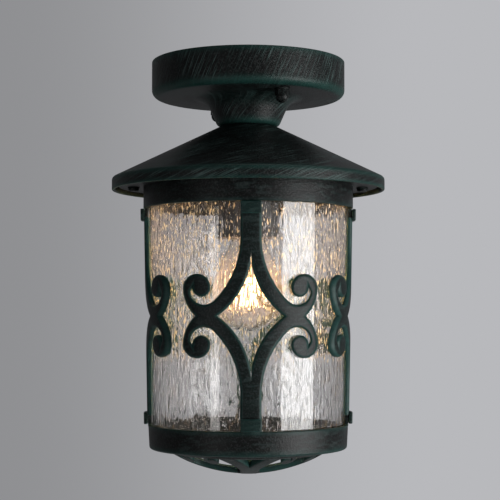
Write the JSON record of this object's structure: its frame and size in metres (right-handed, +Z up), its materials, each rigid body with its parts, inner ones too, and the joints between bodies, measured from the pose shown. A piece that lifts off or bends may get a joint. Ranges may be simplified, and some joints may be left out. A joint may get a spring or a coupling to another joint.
{
  "type": "outdoor ceiling light",
  "caption": "Outdoor ceiling lantern with round canopy, conical roof, tapered rain-glass tube held in a cage of scrollwork straps, and a domed scroll grille below a clear lamp",
  "frame": {"origin": "on the ceiling, at the middle of the crossbar's top face", "axes": "+Z up towards the ceiling, -Y towards the front strap, X through the two roof screws"},
  "size_m": [0.2, 0.2, 0.301],
  "materials": {
    "verdigris_paint": "near-black textured paint with green-blue rubbed along the edges",
    "zinc_steel": "zinc-plated steel",
    "terminal_plastic": "moulded cream plastic",
    "brass": "plain brass",
    "live_insulation": "brown wire insulation",
    "neutral_insulation": "blue wire insulation",
    "earth_insulation": "green and yellow wire insulation",
    "holder_plastic": "black moulded lampholder plastic",
    "porcelain": "white glazed porcelain",
    "lamp_metal": "bright lamp cap metal",
    "lamp_insulator": "dark lamp cap glass",
    "lamp_glass": "clear lamp glass",
    "filament": "glowing filament",
    "rain_glass": "clear seeded rain glass with vertical streaks",
    "seal": "soft black gasket"
  },
  "bodies": {
    "fixture": {"crossbar": "zinc_steel", "canopy_studs": "zinc_steel", "stud_nuts": "zinc_steel", "terminal_block": "terminal_plastic", "terminal_barrels": "brass", "terminal_screws": "zinc_steel", "terminal_fixing_screw": "zinc_steel", "earth_lug": "brass", "earth_screw": "zinc_steel", "live_wire": "live_insulation", "neutral_wire": "neutral_insulation", "earth_wire": "earth_insulation", "canopy": "verdigris_paint", "nipple": "zinc_steel", "nipple_washers": "zinc_steel", "nipple_nuts": "zinc_steel", "roof": "verdigris_paint", "holder_lock_nut": "zinc_steel", "lampholder_cap": "holder_plastic", "lampholder_skirt": "holder_plastic", "lampholder_insert": "porcelain", "lampholder_shell": "brass", "lampholder_contact": "brass", "lampholder_terminals": "brass"},
    "cage": {"collar": "verdigris_paint", "glass_seal_top": "seal", "glass": "rain_glass", "glass_seal_bottom": "seal", "bottom_ring": "verdigris_paint", "bottom_grille": "verdigris_paint", "grille_screws": "zinc_steel", "strap_screws_upper": "zinc_steel", "strap_screws_lower": "zinc_steel", "strap_front": "verdigris_paint", "strap_right": "verdigris_paint", "strap_back": "verdigris_paint", "strap_left": "verdigris_paint"},
    "lamp": {"lamp_tip_contact": "lamp_metal", "lamp_insulator": "lamp_insulator", "lamp_cap": "lamp_metal", "lamp_envelope": "lamp_glass", "lamp_stem": "lamp_glass", "lamp_leads": "lamp_metal", "lamp_filament": "filament"},
    "front_nut_washer": {"canopy_washer_front": "verdigris_paint"},
    "front_cap_nut": {"cap_nut_front": "verdigris_paint"},
    "rear_nut_washer": {"canopy_washer_rear": "verdigris_paint"},
    "rear_cap_nut": {"cap_nut_rear": "verdigris_paint"},
    "left_screw_washer": {"flange_washer_left": "verdigris_paint"},
    "left_flange_screw": {"flange_screw_left": "verdigris_paint"},
    "right_screw_washer": {"flange_washer_right": "verdigris_paint"},
    "right_flange_screw": {"flange_screw_right": "verdigris_paint"}
  },
  "joints": [
    {"name": "cage_lower", "type": "slide", "parent": "fixture", "child": "cage", "axis": [0, 0, -1], "range_m": [0, 0.115]},
    {"name": "lamp_withdraw", "type": "slide", "parent": "fixture", "child": "lamp", "axis": [0, 0, -1], "range_m": [0, 0.034]},
    {"name": "front_nut_travel", "type": "slide", "parent": "fixture", "child": "front_nut_washer", "axis": [0, 0, -1], "range_m": [0, 0.0077]},
    {"name": "front_nut_turn", "type": "hinge", "parent": "front_nut_washer", "child": "front_cap_nut", "pos_m": [0.02261, -0.04849, -0.035], "axis": [0, 0, -1], "range_deg": [0, 3700]},
    {"name": "rear_nut_travel", "type": "slide", "parent": "fixture", "child": "rear_nut_washer", "axis": [0, 0, -1], "range_m": [0, 0.0077]},
    {"name": "rear_nut_turn", "type": "hinge", "parent": "rear_nut_washer", "child": "rear_cap_nut", "pos_m": [-0.02261, 0.04849, -0.035], "axis": [0, 0, -1], "range_deg": [0, 3700]},
    {"name": "left_screw_travel", "type": "slide", "parent": "cage", "child": "left_screw_washer", "axis": [0, 0, -1], "range_m": [0, 0.0067]},
    {"name": "left_screw_turn", "type": "hinge", "parent": "left_screw_washer", "child": "left_flange_screw", "pos_m": [-0.0842, 0, -0.094], "axis": [0, 0, -1], "range_deg": [0, 3700]},
    {"name": "right_screw_travel", "type": "slide", "parent": "cage", "child": "right_screw_washer", "axis": [0, 0, -1], "range_m": [0, 0.0067]},
    {"name": "right_screw_turn", "type": "hinge", "parent": "right_screw_washer", "child": "right_flange_screw", "pos_m": [0.0842, 0, -0.094], "axis": [0, 0, -1], "range_deg": [0, 3700]}
  ],
  "couplings": [
    {"joint": "front_nut_turn", "follows": "front_nut_travel", "rad_per_m": 7854},
    {"joint": "rear_nut_turn", "follows": "rear_nut_travel", "rad_per_m": 7854},
    {"joint": "left_screw_turn", "follows": "left_screw_travel", "rad_per_m": 8976},
    {"joint": "right_screw_turn", "follows": "right_screw_travel", "rad_per_m": 8976}
  ]
}
